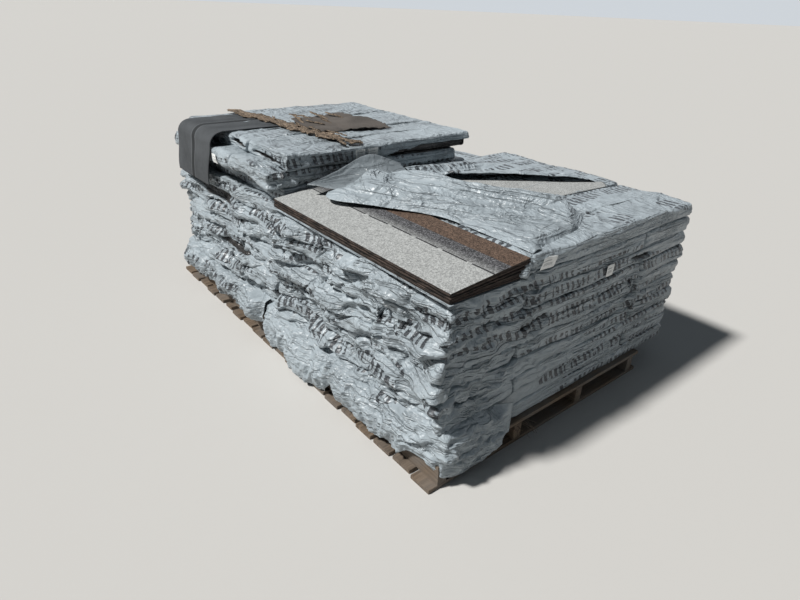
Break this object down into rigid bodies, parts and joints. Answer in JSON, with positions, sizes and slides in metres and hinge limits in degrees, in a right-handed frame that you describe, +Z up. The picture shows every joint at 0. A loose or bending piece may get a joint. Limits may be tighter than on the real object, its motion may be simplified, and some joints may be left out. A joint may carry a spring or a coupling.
{
  "type": "pallet load of asphalt shingle bundles",
  "caption": "Two blocks of film-wrapped asphalt roofing shingle bundles laid crosswise on a wooden pallet, with one bundle torn open and loose shingles on top.",
  "frame": {"origin": "middle of the whole load's base, on the floor", "axes": "+X to the right along the front of the load, +Y along the pallet towards its rear, +Z up"},
  "size_m": [1.3904, 2.102, 0.8685],
  "materials": {
    "wrap_film": "thin crumpled polyethylene film, satin",
    "granule_shingle": "asphalt with mineral granules, rough",
    "shingle_back": "sanded asphalt back, matte",
    "torn_shingle": "torn asphalt and mat, rough",
    "pallet_wood": "weathered sawn softwood",
    "label_paper": "blank stick-on label"
  },
  "bodies": {
    "root": {"front_bundles_01": "wrap_film", "front_bundles_02": "wrap_film", "front_bundles_03": "wrap_film", "front_bundles_04": "wrap_film", "front_bundles_05": "wrap_film", "front_bundles_06": "wrap_film", "front_bundles_07": "wrap_film", "front_bundles_08": "wrap_film", "front_bundles_09": "wrap_film", "front_bundles_10": "wrap_film", "rear_bundles_01": "wrap_film", "rear_bundles_02": "wrap_film", "rear_bundles_03": "wrap_film", "rear_bundles_04": "wrap_film", "rear_bundles_05": "wrap_film", "rear_bundles_06": "wrap_film", "rear_bundles_07": "wrap_film", "rear_bundles_08": "wrap_film", "rear_bundles_09": "wrap_film", "rear_bundles_10": "wrap_film", "rear_bundles_11": "wrap_film", "rear_bundles_12": "wrap_film", "peeled_film": "wrap_film", "film_flap": "wrap_film", "film_fold": "wrap_film", "film_skirt_front": "wrap_film", "film_skirt_middle": "wrap_film", "film_skirt_rear": "wrap_film", "film_bag": "wrap_film", "torn_wrapper": "wrap_film", "top_shingle": "granule_shingle", "bare_shingles_upper": "granule_shingle", "bare_shingles_lower": "granule_shingle", "draped_shingle": "shingle_back", "torn_sheet": "shingle_back", "torn_strip_rear": "torn_shingle", "torn_strip_front": "torn_shingle", "stringer_1": "pallet_wood", "stringer_2": "pallet_wood", "stringer_3": "pallet_wood", "stringer_4": "pallet_wood", "top_deck_boards": "pallet_wood", "bottom_deck_boards": "pallet_wood", "label_opened": "label_paper", "label_front": "label_paper", "label_rear_1": "label_paper", "label_rear_2": "label_paper", "label_rear_side": "label_paper"}
  },
  "joints": []
}
